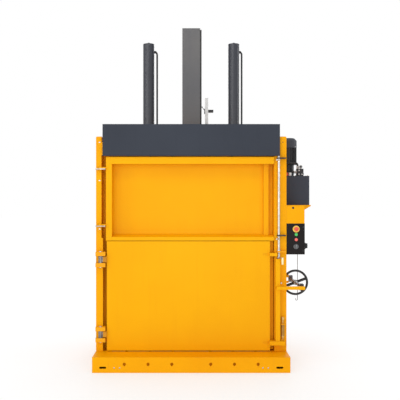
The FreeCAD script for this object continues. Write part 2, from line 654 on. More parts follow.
def outline(body, name, plane, wires):
    """A fully constrained sketch of closed outlines on one of a body's planes."""
    sketch = body.newObject("Sketcher::SketchObject", name)
    planes = {feature.Role: feature for feature in body.Origin.OriginFeatures}
    sketch.AttachmentSupport = [(planes[plane], "")]
    sketch.MapMode = "FlatFace"
    for wire in wires:
        first = sketch.GeometryCount
        count = len(wire)
        corners = [Vector(value(a), value(b), 0) for a, b in wire]
        for i in range(count):
            sketch.addGeometry(Part.LineSegment(corners[i], corners[(i + 1) % count]), False)
        for i in range(count):
            link = (first + i, 2, first + (i + 1) % count, 1)
            sketch.addConstraint(Sketcher.Constraint("Coincident", *link))
        for i, corner in enumerate(wire):
            for kind, text, number in zip(("DistanceX", "DistanceY"), corner, corners[i]):
                rule = Sketcher.Constraint(kind, -1, 1, first + i, 1, number)
                index = sketch.addConstraint(rule)
                sketch.setExpression(f"Constraints[{index}]", cells(text))
    return sketch


def profile(name, plane, wires, thickness, x="0", y="0", z="0", axis=None, angle=0):
    """A body padded from an outline: XY pads up, XZ towards the front, YZ to the right."""
    body = doc.addObject("PartDesign::Body", name)
    pad = body.newObject("PartDesign::Pad", name + "_pad")
    pad.Profile = outline(body, name + "_outline", plane, wires)
    pad.setExpression("Length", cells(thickness))
    body.Tip = pad
    return place(body, x, y, z, axis, angle)


def turned(name, wire, x, y, z):
    """A body turned about its upright axis from half of its section."""
    body = doc.addObject("PartDesign::Body", name)
    sketch = outline(body, name + "_section", "XZ_Plane", [wire])
    turn = body.newObject("PartDesign::Revolution", name + "_turn")
    turn.Profile = sketch
    turn.ReferenceAxis = (sketch, ["V_Axis"])
    turn.Angle = 360
    body.Tip = turn
    return place(body, x, y, z)


def slot(name, x, y, z, length, width, depth):
    """A cutter for an oblong hole that runs along Y, centred on x and z."""
    straight = f"({length}-{width})"
    middle = block(name + "_middle", f"{x}-{straight}/2", y, f"{z}-{width}/2", straight, depth, width)
    ends = [
        drum(f"{name}_end_{i}", f"{x}{sign}{straight}/2", y, z, f"{width}/2", depth, "Y")
        for i, sign in enumerate("-+")
    ]
    return join(name, middle, *ends)


def bent_path(points, bends):
    """A wire of straight runs joined by tangent arcs."""
    edges = []
    start = points[0]
    for before, corner, after, radius in zip(points, points[1:], points[2:], bends):
        back = (before - corner).normalize()
        ahead = (after - corner).normalize()
        half = back.getAngle(ahead) / 2
        reach = radius / math.tan(half)
        first = corner + back * reach
        last = corner + ahead * reach
        towards = (back + ahead).normalize()
        middle = corner + towards * (radius / math.sin(half) - radius)
        edges.append(Part.LineSegment(start, first).toShape())
        edges.append(Part.Arc(first, middle, last).toShape())
        start = last
    edges.append(Part.LineSegment(start, points[-1]).toShape())
    return Part.Wire(edges)


def tube_along(wire, radius):
    """A round solid swept along a wire."""
    edge = wire.OrderedEdges[0]
    start = edge.valueAt(edge.FirstParameter)
    along = edge.tangentAt(edge.FirstParameter)
    ring = Part.Wire(Part.makeCircle(radius, start, along))
    return wire.makePipeShell([ring], True, False)


def feature(name, shape):
    """A sub-part whose shape is worked out from the sheet in code."""
    piece = doc.addObject("Part::Feature", name)
    piece.Shape = shape
    piece.Placement = FreeCAD.Placement()
    return piece


# Strap grooves run front to back through floor, doors, rear wall and platen
GROOVES = [f"(-middle_groove-{i}*groove_pitch)" for i in (2, 1, 0)]
GROOVES += [f"(middle_groove+{i}*groove_pitch)" for i in (0, 1, 2)]


def slat_row(name, left, right, groove, y, z, depth, height, open_side):
    """Hollow slats side by side, with a strap groove between each two."""
    lefts = [left] + [f"({groove_x}+{groove}/2)" for groove_x in GROOVES]
    rights = [f"({groove_x}-{groove}/2)" for groove_x in GROOVES] + [right]
    y_start, y_size = f"{y}+slat_wall", f"{depth}-2*slat_wall"
    z_start, z_size = f"{z}+slat_wall", f"{height}-2*slat_wall"
    if open_side == "bottom":
        z_start, z_size = z, f"{height}-slat_wall"
    elif open_side == "top":
        z_size = f"{height}-slat_wall"
    elif open_side == "front":
        y_start, y_size = y, f"{depth}-slat_wall"
    else:
        y_size = f"{depth}-slat_wall"
    rows = []
    for i, (a, b) in enumerate(zip(lefts, rights)):
        outer = block(f"{name}_outer_{i}", a, y, z, f"{b}-{a}", depth, height)
        hollow = block(
            f"{name}_hollow_{i}", f"{a}+slat_wall", y_start, z_start,
            f"{b}-{a}-2*slat_wall", y_size, z_size,
        )
        rows.append(cut(f"{name}_{i}", outer, hollow))
    return group(name, *rows)


def tube_block(name, x, y, z, length, width, height, wall):
    """A closed hollow box."""
    outer = block(name + "_outer", x, y, z, length, width, height)
    hollow = block(
        name + "_hollow", f"{x}+{wall}", f"{y}+{wall}", f"{z}+{wall}",
        f"{length}-2*{wall}", f"{width}-2*{wall}", f"{height}-2*{wall}",
    )
    return cut(name, outer, hollow)


# ---------------------------------------------------------------- base and floor
def make_base():
    """Two skids, the rear beam, the folded front beam and the floor slats."""
    beams = []
    for side, x, slot_x in (
        ("left", f"-{HALF}", f"(lift_slot_inset-{HALF})"),
        ("right", f"({HALF}-skid_width)", f"({HALF}-lift_slot_inset)"),
    ):
        skid = tube_block(
            f"{side}_skid_tube", x, FRONT, "0", "skid_width", "base_depth", "base_height", "skid_wall"
        )
        lift_slot = slot(
            f"{side}_lift_slot", slot_x, f"{FRONT}-1", "lift_slot_height",
            "lift_slot_length", "lift_slot_width", "skid_wall+2",
        )
        beams.append(cut(f"{side}_skid", skid, lift_slot))
    beams.append(tube_block(
        "rear_beam", f"skid_width-{HALF}", f"{BACK}-rear_beam_depth", "0",
        "overall_width-2*skid_width", "rear_beam_depth", "base_height", "skid_wall",
    ))
    for name, sign in (("front_cross_beam", "-"), ("middle_cross_beam", "0*"), ("rear_cross_beam", "")):
        beams.append(tube_block(
            name, f"skid_width-{HALF}", f"{sign}cross_beam_pitch-cross_beam_width/2", "0",
            "overall_width-2*skid_width", "cross_beam_width", "base_height-slat_height", "skid_wall",
        ))
    node(group("base_beams", *beams), "base_beams")

    under_plate = "(base_height-floor_plate_sheet)"
    plate_back = f"({FRONT}+floor_plate_depth)"
    section = [
        (FRONT, "0"), (f"{FRONT}+front_beam_sheet", "0"), (f"{FRONT}+front_beam_sheet", under_plate),
        (plate_back, under_plate), (plate_back, "base_height"), (FRONT, "base_height"),
    ]
    beam = profile(
        "front_beam_sheet_metal", "YZ_Plane", [section], "overall_width-2*skid_width",
        x=f"skid_width-{HALF}",
    )
    cutters = []
    depth = "(front_beam_sheet+2)"
    for i, x in enumerate(GROOVES):
        cutters.append(drum(
            f"strap_hole_{i}", x, f"{FRONT}-1", "strap_hole_height", "strap_hole_radius", depth, "Y"
        ))
        cutters.append(block(
            f"strap_point_{i}", x, f"{FRONT}-1", "strap_hole_height",
            "strap_hole_radius", depth, "strap_hole_radius", Vector(0, 1, 0), "135",
        ))
    for i, (side, step) in enumerate((("-", "-"), ("-", "+"), ("", "-"), ("", "+"))):
        x = f"({side}bolt_pair_offset{step}bolt_hole_spacing/2)"
        cutters.append(drum(
            f"bolt_hole_{i}", x, f"{FRONT}-1", "bolt_hole_height", "bolt_hole_radius", depth, "Y"
        ))
    node(cut("base_front_beam", beam, *cutters), "base_front_beam")

    node(slat_row(
        "floor_slats", f"(skid_width-{HALF})", f"({HALF}-skid_width)", "groove_width",
        plate_back, "(base_height-slat_height)", f"({BACK}-rear_beam_depth-{plate_back})",
        "slat_height", "bottom",
    ), "floor_slats")


# ---------------------------------------------------------------- posts and walls
def make_posts():
    """The folded side posts at the front, each one sheet bent several times."""
    left = f"(-{HALF})"
    web = f"({left}+post_flange)"
    back = f"({WALL_FRONT}+post_sheet)"
    section = [
        (left, POST), (web, POST), (web, WALL_FRONT), (f"-{CHAMBER}", WALL_FRONT),
        (f"-{CHAMBER}", back), (f"{web}-post_sheet", back),
        (f"{web}-post_sheet", f"{POST}+post_sheet"), (f"{left}+post_sheet", f"{POST}+post_sheet"),
        (f"{left}+post_sheet", f"{POST}+post_lip"), (left, f"{POST}+post_lip"),
    ]
    height = "(post_top-base_height)"
    sheet_metal = profile("left_post_sheet", "XY_Plane", [section], height, z="base_height")
    cheek = block(
        "left_post_cheek", web, POST, "base_height",
        "lower_flange_extra", "post_sheet", "lower_flange_top-base_height",
    )
    slots = [
        slot(
            f"left_post_slot_{i}", f"({left}+post_slot_inset)", f"{POST}-1", z,
            "post_slot_length", "post_slot_width", "post_sheet+2",
        )
        for i, z in enumerate(("post_slot_low", "post_slot_middle", "post_slot_high"))
    ]
    post = cut("left_post_cut", join("left_post_welded", sheet_metal, cheek), *slots)
    node(rounded("left_post", post, "post_corner", top_corner(left)), "left_post")

    right = HALF
    web = "right_post_inner"
    section = [
        (web, POST), (right, POST), (right, f"{POST}+post_lip"),
        (f"{right}-post_sheet", f"{POST}+post_lip"), (f"{right}-post_sheet", f"{POST}+post_sheet"),
        (f"{web}+post_sheet", f"{POST}+post_sheet"), (f"{web}+post_sheet", back),
        (CHAMBER, back), (CHAMBER, WALL_FRONT), (web, WALL_FRONT),
    ]
    sheet_metal = profile("right_post_sheet", "XY_Plane", [section], height, z="base_height")
    hole = drum(
        "right_post_hole", f"({right}-post_slot_inset)", f"{POST}-1", "post_slot_high",
        "post_slot_width/2", "post_sheet+2", "Y",
    )
    post = cut("right_post_cut", sheet_metal, hole)
    node(rounded("right_post", post, "post_corner", top_corner(right)), "right_post")


def top_corner(x):
    """A test for the top edge of a post that runs along Y at its outer side."""
    outer = value(x)
    top = value("post_top")

    def test(edge):
        box = edge.BoundBox
        flat = box.XLength < 1e-6 and box.ZLength < 1e-6
        return flat and abs(box.XMin - outer) < 1e-3 and abs(box.ZMin - top) < 1e-3
    return test


def make_walls():
    """Side walls and rear wall with their box ribs, and the rear slats."""
    start = f"({WALL_FRONT}+post_sheet)"
    depth = f"({WALL_BACK}-{start})"
    height = "(post_top-base_height)"
    rib_count = 1 + int((value("post_top") - value("rib_first")) // value("rib_pitch"))
    ribs = [f"(rib_first+{i}*rib_pitch-rib_height/2)" for i in range(rib_count)]
    for side, plate_x, rib_x, hollow_x in (
        ("left", f"(-{CHAMBER}-wall_sheet)", f"(-{CHAMBER}-wall_sheet-rib_reach)", "rib_sheet"),
        ("right", CHAMBER, f"({CHAMBER}+wall_sheet)", "0"),
    ):
        name = f"{side}_side_wall"
        plate = block(name + "_plate", plate_x, start, "base_height", "wall_sheet", depth, height)
        outers = [
            block(f"{name}_rib_{i}", rib_x, start, z, "rib_reach", depth, "rib_height")
            for i, z in enumerate(ribs)
        ]
        hollows = [
            block(
                f"{name}_hollow_{i}", f"{rib_x}+{hollow_x}", f"{start}-1", f"{z}+rib_sheet",
                "rib_reach-rib_sheet", f"{depth}+2", "rib_height-2*rib_sheet",
            )
            for i, z in enumerate(ribs)
        ]
        node(cut(name, join(name + "_welded", plate, *outers), *hollows), name)

    wide = f"({CHAMBER}+wall_sheet)"
    plate = block(
        "rear_wall_plate", f"-{wide}", WALL_BACK, "base_height", f"2*{wide}", "wall_sheet", height
    )
    rib_y = f"({WALL_BACK}+wall_sheet)"
    outers = [
        block(f"rear_wall_rib_{i}", f"-{wide}", rib_y, z, f"2*{wide}", "rear_rib_reach", "rib_height")
        for i, z in enumerate(ribs)
    ]
    hollows = [
        block(
            f"rear_wall_hollow_{i}", f"-{wide}-1", rib_y, f"{z}+rib_sheet",
            f"2*{wide}+2", "rear_rib_reach-rib_sheet", "rib_height-2*rib_sheet",
        )
        for i, z in enumerate(ribs)
    ]
    node(cut("rear_wall", join("rear_wall_welded", plate, *outers), *hollows), "rear_wall")
    node(slat_row(
        "rear_slats", f"(-{CHAMBER})", CHAMBER, "groove_width", REAR, "base_height",
        "lining_depth", "(lining_top-base_height)", "back",
    ), "rear_slats")


# ---------------------------------------------------------------- hood and crosshead
def make_top():
    """The dark hood, the header behind it and the crosshead that carries the cylinders."""
    front = f"({POST}-hood_proud)"
    section = [
        (front, "hood_bottom"), (POST, "hood_bottom"), (POST, "hood_bottom+hood_sheet"),
        (f"{front}+hood_sheet", "hood_bottom+hood_sheet"), (f"{front}+hood_sheet", "hood_top-hood_sheet"),
        (f"{front}+hood_top_return", "hood_top-hood_sheet"), (f"{front}+hood_top_return", "hood_top"),
        (front, "hood_top"),
    ]
    folded = profile("hood_sheet_metal", "YZ_Plane", [section], "2*hood_half_width", x="-hood_half_width")
    cheeks = [
        block(
            f"hood_cheek_{i}", x, front, "hood_bottom", "hood_sheet", "hood_proud",
            "hood_top-hood_bottom",
        )
        for i, x in enumerate(("-hood_half_width", "hood_half_width-hood_sheet"))
    ]
    node(join("hood", folded, *cheeks), "hood")

    left = f"(post_flange-{HALF})"
    header = tube_block(
        "front_header", left, POST, "header_bottom", f"right_post_inner-{left}",
        "header_depth", "header_height", "beam_wall",
    )
    beam = tube_block(
        "crosshead_box", f"-{CHAMBER}", f"{CENTRE}-crosshead_depth/2", "crosshead_bottom",
        "chamber_width", "crosshead_depth", "crosshead_height", "beam_wall",
    )
    collar = block(
        "guide_collar", "-guide_collar/2", f"{CENTRE}-guide_collar/2", CROSSHEAD_TOP,
        "guide_collar", "guide_collar", "guide_collar_height",
    )
    half = "(mast_width/2+mast_play)"
    through = "(crosshead_height+guide_collar_height+2)"
    openings = [
        block("mast_hole", f"-{half}", f"{CENTRE}-{half}", "crosshead_bottom-1",
              f"2*{half}", f"2*{half}", through),
        block("strip_hole", "0", f"{CENTRE}-mast_strip_depth/2-mast_play", "crosshead_bottom-1",
              f"{half}+mast_strip_width", "mast_strip_depth+2*mast_play", through),
    ]
    for i, sign in enumerate("-+"):
        openings.append(drum(
            f"cylinder_hole_{i}", f"0{sign}cylinder_offset", CENTRE, "crosshead_bottom-1",
            "cylinder_radius+shaft_fit", through,
        ))
    crosshead = cut("crosshead", join("crosshead_welded", beam, collar), *openings)
    node(group("crosshead_beams", header, crosshead), "crosshead_beams")


def make_cylinders():
    """Cylinder tubes with gland, head and mounting flange, and the oil pipe of each."""
    barrels = []
    pipes = []
    gland = "(rod_radius+running_gap)"
    section = [
        (gland, "crosshead_bottom"), ("cylinder_radius", "crosshead_bottom"),
        ("cylinder_radius", "cylinder_top"), ("0", "cylinder_top"),
        ("0", "cylinder_top-cylinder_head"), ("cylinder_bore", "cylinder_top-cylinder_head"),
        ("cylinder_bore", "crosshead_bottom+gland_length"), (gland, "crosshead_bottom+gland_length"),
    ]
    for side, x in (("left", "(-cylinder_offset)"), ("right", "cylinder_offset")):
        tube = turned(f"{side}_tube", section, x, CENTRE, "0")
        flange = cut(
            f"{side}_flange",
            block(f"{side}_flange_plate", f"{x}-cylinder_flange/2", f"{CENTRE}-cylinder_flange/2",
                  CROSSHEAD_TOP, "cylinder_flange", "cylinder_flange", "cylinder_flange_sheet"),
            drum(f"{side}_flange_hole", x, CENTRE, CROSSHEAD_TOP, "cylinder_bore",
                 "cylinder_flange_sheet"),
        )
        nipple = drum(f"{side}_nipple", x, CENTRE, "cylinder_top", "nipple_radius", "nipple_height")
        barrels.append(join(f"{side}_barrel", tube, flange, nipple))

        axis = Vector(value(x), value(CENTRE), value("pipe_top"))
        offset = Vector(value("pipe_offset"), value("pipe_back"), 0)
        near = axis + Vector(offset).normalize() * value("cylinder_radius")
        corner = axis + offset
        foot = Vector(corner.x, corner.y, value(CROSSHEAD_TOP))
        bend = 0.8 * (corner - near).Length
        path = bent_path([near, corner, foot], [bend])
        pipes.append(feature(f"{side}_pipe", tube_along(path, value("pipe_radius"))))
    node(group("cylinder_barrels", *barrels), "cylinder_barrels")
    node(group("cylinder_pipes", *pipes), "cylinder_pipes")


# ---------------------------------------------------------------- ram
def make_ram():
    """Platen with its slats, the two piston rods and the guide mast."""
    left = f"(platen_gap-{CHAMBER})"
    front = f"({INNER}+platen_gap)"
    width = "(chamber_width-2*platen_gap)"
    depth = "(chamber_depth-2*platen_gap)"
    plate_z = "(platen_bottom+platen_slat)"
    solid = block("platen_blank", left, front, plate_z, width, depth, "platen_sheet+platen_frame")
    flange = "(rod_flange_radius-platen_rib)"
    rib_places = [
        f"(-cylinder_offset-{flange})", f"({flange}-cylinder_offset)", "(-mast_width/2)",
        "(mast_width/2)", f"(cylinder_offset-{flange})", f"(cylinder_offset+{flange})",
    ]
    lefts = [f"({left}+platen_rib)"] + [f"({x}+platen_rib/2)" for x in rib_places]
    rights = [f"({x}-platen_rib/2)" for x in rib_places] + [f"(-({left})-platen_rib)"]
    pockets = [
        block(f"platen_pocket_{i}", a, f"{front}+platen_rib", f"{plate_z}+platen_sheet",
              f"{b}-{a}", f"{depth}-2*platen_rib", "platen_frame+1")
        for i, (a, b) in enumerate(zip(lefts, rights))
    ]
    node(cut("platen_plate", solid, *pockets), "platen_plate")
    node(slat_row(
        "platen_slats", left, f"(-({left}))", "platen_groove", front, "platen_bottom",
        depth, "platen_slat", "top",
    ), "platen_slats")

    rods = []
    piston_z = "(cylinder_top-cylinder_head-piston_drop-piston_length)"
    for side, x in (("left", "(-cylinder_offset)"), ("right", "cylinder_offset")):
        rods.append(join(
            f"{side}_rod",
            drum(f"{side}_rod_bar", x, CENTRE, PLATEN_TOP, "rod_radius", f"{piston_z}-{PLATEN_TOP}"),
            drum(f"{side}_rod_foot", x, CENTRE, PLATEN_TOP, "rod_flange_radius", "rod_flange_sheet"),
            drum(f"{side}_piston", x, CENTRE, piston_z, "cylinder_bore-running_gap", "piston_length"),
        ))
    node(group("piston_rods", *rods), "piston_rods")

    height = f"(mast_top-{PLATEN_TOP})"
    tube = cut(
        "mast_tube",
        block("mast_outer", "-mast_width/2", f"{CENTRE}-mast_width/2", PLATEN_TOP,
              "mast_width", "mast_width", height),
        block("mast_inner", "mast_wall-mast_width/2", f"{CENTRE}-mast_width/2+mast_wall",
              f"{PLATEN_TOP}+rod_flange_sheet", "mast_width-2*mast_wall", "mast_width-2*mast_wall",
              f"{height}-rod_flange_sheet-mast_wall"),
    )
    foot = block("mast_foot_plate", "-mast_foot/2", f"{CENTRE}-mast_foot/2", PLATEN_TOP,
                 "mast_foot", "mast_foot", "rod_flange_sheet")
    strip = block("mast_strip", "mast_width/2", f"{CENTRE}-mast_strip_depth/2",
                  f"{PLATEN_TOP}+rod_flange_sheet", "mast_strip_width", "mast_strip_depth",
                  f"{height}-rod_flange_sheet")
    node(join("mast", tube, foot, strip), "mast")


# ---------------------------------------------------------------- hinges
HINGES = ("lower_hinge_low", "lower_hinge_high")
UPPER_HINGES = ("upper_hinge_low", "upper_hinge_high")


def hinge_strap(name, z, height, door_edge):
    """The cranked plate that ties a door's left edge to the hinge line."""
    edge = f"(-{door_edge}-{HINGE_X})"
    section = [
        ("0", "-strap_front"), (edge, "-strap_front"), (edge, "strap_weld"),
        ("strap_elbow", "strap_weld"), ("strap_elbow", "strap_back"), ("0", "strap_back"),
    ]
    return profile(name, "XY_Plane", [section], height, HINGE_X, HINGE_Y, z)


def make_hinges():
    """Lugs on the left post, pins, knuckles of the lower door and leaves of the upper."""
    lugs = []
    pins = []
    knuckles = []
    leaves = []
    lug_y = f"({HINGE_Y}-lug_front)"
    lug_depth = "(lug_front+hinge_proud)"

    def lug(name, z, height, hole):
        plate = block(
            name + "_plate", f"{HINGE_X}-lug_left", lug_y, z, "lug_left+lug_right", lug_depth, height
        )
        return cut(name, plate, drum(name + "_hole", HINGE_X, HINGE_Y, f"{z}-1", hole, f"{height}+2"))

    for i, middle in enumerate(HINGES):
        low = f"({middle}-lower_hinge_opening/2-lower_lug)"
        high = f"({middle}+lower_hinge_opening/2)"
        lugs.append(lug(f"lower_lug_{i}_a", low, "lower_lug", "hinge_pin_radius"))
        lugs.append(lug(f"lower_lug_{i}_b", high, "lower_lug", "hinge_pin_radius"))
        length = "(lower_hinge_opening+2*lower_lug)"
        bar = drum(f"pin_bar_{i}", HINGE_X, HINGE_Y, f"{low}-pin_head", "hinge_pin_radius",
                   f"{length}+pin_head")
        head = drum(f"pin_head_{i}", HINGE_X, HINGE_Y, f"{low}+{length}",
                    "hinge_pin_radius+pin_head_extra", "pin_head")
        pins.append(join(f"pin_{i}", bar, head))
        barrel = drum(
            f"knuckle_barrel_{i}", HINGE_X, HINGE_Y,
            f"{middle}-lower_hinge_opening/2+running_gap", "knuckle_radius",
            "lower_hinge_opening-2*running_gap",
        )
        strap = hinge_strap(f"knuckle_strap_{i}", f"{middle}-strap_height/2", "strap_height",
                            "door_left")
        bore = drum(f"knuckle_bore_{i}", HINGE_X, HINGE_Y, f"{middle}-lower_hinge_opening/2",
                    "hinge_pin_radius+shaft_fit", "lower_hinge_opening")
        knuckles.append(cut(f"knuckle_{i}", join(f"knuckle_welded_{i}", barrel, strap), bore))
    for i, middle in enumerate(UPPER_HINGES):
        low = f"({middle}-upper_lug-running_gap)"
        lugs.append(lug(f"upper_lug_{i}", low, "upper_lug", "hinge_pin_radius+shaft_fit"))
        leaf = hinge_strap(f"leaf_strap_{i}", middle, "upper_lug", "upper_door_left")
        barrel = drum(f"leaf_barrel_{i}", HINGE_X, HINGE_Y, middle, "knuckle_radius", "upper_lug")
        pin = drum(f"leaf_pin_{i}", HINGE_X, HINGE_Y, f"{low}-upper_pin_drop", "hinge_pin_radius",
                   "2*upper_lug+running_gap+upper_pin_drop+pin_head")
        leaves.append(join(f"leaf_{i}", leaf, barrel, pin))
    node(group("hinge_lugs", *lugs), "hinge_lugs")
    node(group("lower_hinge_pins", *pins), "lower_hinge_pins")
    node(group("lower_hinge_knuckles", *knuckles), "lower_hinge_knuckles")
    node(group("upper_hinge_leaves", *leaves), "upper_hinge_leaves")


# ---------------------------------------------------------------- doors
def make_upper_door():
    """Feed door: a recessed panel inside a deep frame, open to the front."""
    left = "(-upper_door_left)"
    width = "(upper_door_right+upper_door_left)"
    panel = f"({INNER}-panel_sheet)"
    sill_height = "(upper_door_bottom+sill_front)"
    slope = f"(sill_rise/({panel}-{DOOR}))"
    node(block("upper_door_panel", left, panel, "upper_door_bottom", width, "panel_sheet",
               "upper_door_top-upper_door_bottom"), "upper_door_panel")
    node(tube_block("upper_door_top_rail", left, DOOR, "upper_door_top-top_rail", width,
                    f"{panel}-{DOOR}", "top_rail", "door_wall"), "upper_door_top_rail")
    section = [
        (DOOR, "upper_door_bottom"), (panel, "upper_door_bottom"),
        (panel, f"{sill_height}+sill_rise"), (DOOR, sill_height),
    ]
    hollow = [
        (f"{DOOR}+door_wall", "upper_door_bottom+door_wall"),
        (f"{panel}-door_wall", "upper_door_bottom+door_wall"),
        (f"{panel}-door_wall", f"{sill_height}+sill_rise-door_wall*(1+{slope})"),
        (f"{DOOR}+door_wall", f"{sill_height}-door_wall*(1-{slope})"),
    ]
    node(profile("upper_door_sill", "YZ_Plane", [section, hollow], width, x=left), "upper_door_sill")

    stiles = []
    head = "(upper_door_top-top_rail)"
    for side, x, stile, front in (
        ("left", left, "left_stile", DOOR),
        ("right", "(upper_door_right-right_stile_inset-right_stile)", "right_stile",
         f"({DOOR}+right_stile_setback)"),
    ):
        foot = f"({sill_height}+({front}-{DOOR})*{slope})"
        section = [(front, foot), (panel, f"{sill_height}+sill_rise"), (panel, head), (front, head)]
        solid = profile(f"{side}_stile_bar", "YZ_Plane", [section], stile, x=x)
        hollow = block(
            f"{side}_stile_hollow", f"{x}+door_wall", f"{front}+door_wall",
            f"{sill_height}+sill_rise+door_wall", f"{stile}-2*door_wall",
            f"{panel}-{front}-2*door_wall", f"{head}-{sill_height}-sill_rise-2*door_wall",
        )
        stiles.append(cut(f"{side}_stile_tube", solid, hollow))
    node(group("upper_door_stiles", *stiles), "upper_door_stiles")


LOCK_LUG_TOP = "(lock_bar_high+lock_neck+upper_lock_lug)"


def make_lower_door():
    """Bale door: a closed hollow plate with a rebate, slats inside and the lock bar."""
    left = "(-door_left)"
    back = f"({INNER}-lining_depth)"
    rebate = f"({DOOR}+rebate_depth)"
    height = "(lower_door_top-lower_door_bottom)"
    outer = [
        (left, DOOR), ("lower_door_right", DOOR), ("lower_door_right", rebate),
        ("lower_door_inner", rebate), ("lower_door_inner", back), (left, back),
    ]
    inner = [
        (f"{left}+door_wall", f"{DOOR}+door_wall"),
        ("lower_door_right-door_wall", f"{DOOR}+door_wall"),
        ("lower_door_right-door_wall", f"{rebate}+door_wall"),
        ("lower_door_inner-door_wall", f"{rebate}+door_wall"),
        ("lower_door_inner-door_wall", f"{back}-door_wall"), (f"{left}+door_wall", f"{back}-door_wall"),
    ]
    solid = profile("lower_door_solid", "XY_Plane", [outer], height, z="lower_door_bottom")
    hollow = profile("lower_door_hollow", "XY_Plane", [inner], f"{height}-2*door_wall",
                     z="lower_door_bottom+door_wall")
    pockets = [
        block(f"lug_pocket_{i}", "lower_door_right-arm_pocket_inset-arm_pocket_length",
              f"{DOOR}-1", f"{z}-arm_pocket_width/2", "arm_pocket_length",
              "arm_pocket_depth+1", "arm_pocket_width")
        for i, z in enumerate((f"({LOCK_LUG_TOP}-upper_lock_lug/2)", "(lock_bar_low-lower_lock_lug/2)"))
    ]
    node(cut("lower_door_shell", solid, hollow, *pockets), "lower_door_shell")
    node(slat_row("lower_door_slats", f"(slat_end_gap-{CHAMBER})", "lower_door_inner", "groove_width",
                  back, "lower_door_bottom", "lining_depth", height, "front"), "lower_door_slats")

    bar = tube_block("lock_bar_tube", "lock_bar_x", BAR_FRONT, "lock_bar_low", "lock_bar_size",
                     "lock_bar_size", "lock_bar_high-lock_bar_low", "lock_bar_wall")
    neck = block("lock_neck_plate", "lock_bar_x", f"{BAR_BACK}-lock_neck_depth", "lock_bar_high",
                 "lock_neck_width", "lock_neck_depth", "lock_neck")
    upper = lock_lug("upper_lock_plate", "lock_lug_right", f"{LOCK_LUG_TOP}-upper_lock_lug",
                     "upper_lock_lug")
    lower = lock_lug("lower_lock_plate", "catch_lug_right", "lock_bar_low-lower_lock_lug",
                     "lower_lock_lug")
    hole = drum("lock_lug_hole", "catch_x", LATCH_Y, "lock_bar_low-lower_lock_lug-1",
                "catch_radius+catch_hole_play", "lower_lock_lug+2")
    # the tube and its two lugs stay separate solids, welded where they touch
    node(group("lock_bar", bar, join("upper_lock_lug_neck", neck, upper),
               cut("lower_lock_lug_bored", lower, hole)), "lock_bar")

    arm_y = f"({BAR_FRONT}-wheel_arm_reach)"
    arm_z = "(screw_height-wheel_arm_height/2)"
    bar = block("wheel_arm_bar", "wheel_arm_left", arm_y, arm_z,
                "screw_x+arm_eye-wheel_arm_left", "wheel_arm_reach", "wheel_arm_height")
    link = block("wheel_arm_link", "screw_x-arm_eye", BAR_FRONT, arm_z,
                 "2*arm_eye", f"{PIN_Y}-{BAR_FRONT}", "wheel_arm_height")
    eye = drum("wheel_arm_eye", "screw_x", PIN_Y, arm_z, "arm_eye", "wheel_arm_height")
    bore = drum("wheel_arm_bore", "screw_x", PIN_Y, f"{arm_z}-1", "arm_pin_radius+shaft_fit",
                "wheel_arm_height+2")
    node(cut("wheel_arm", join("wheel_arm_welded", bar, link, eye), bore), "wheel_arm")


def lock_lug(name, right, z, height):
    """A lug that grips the lower door's rebate and reaches past the lock bar."""
    front = f"({POST}-lock_lug_front)"
    section = [
        ("lock_lug_left", front), (right, front), (right, BAR_BACK), ("lower_door_inner", BAR_BACK),
        ("lower_door_inner", f"{DOOR}+rebate_depth"), ("lower_door_right", f"{DOOR}+rebate_depth"),
        ("lower_door_right", DOOR), ("lock_lug_left", DOOR),
    ]
    return profile(name, "XY_Plane", [section], height, z=z)


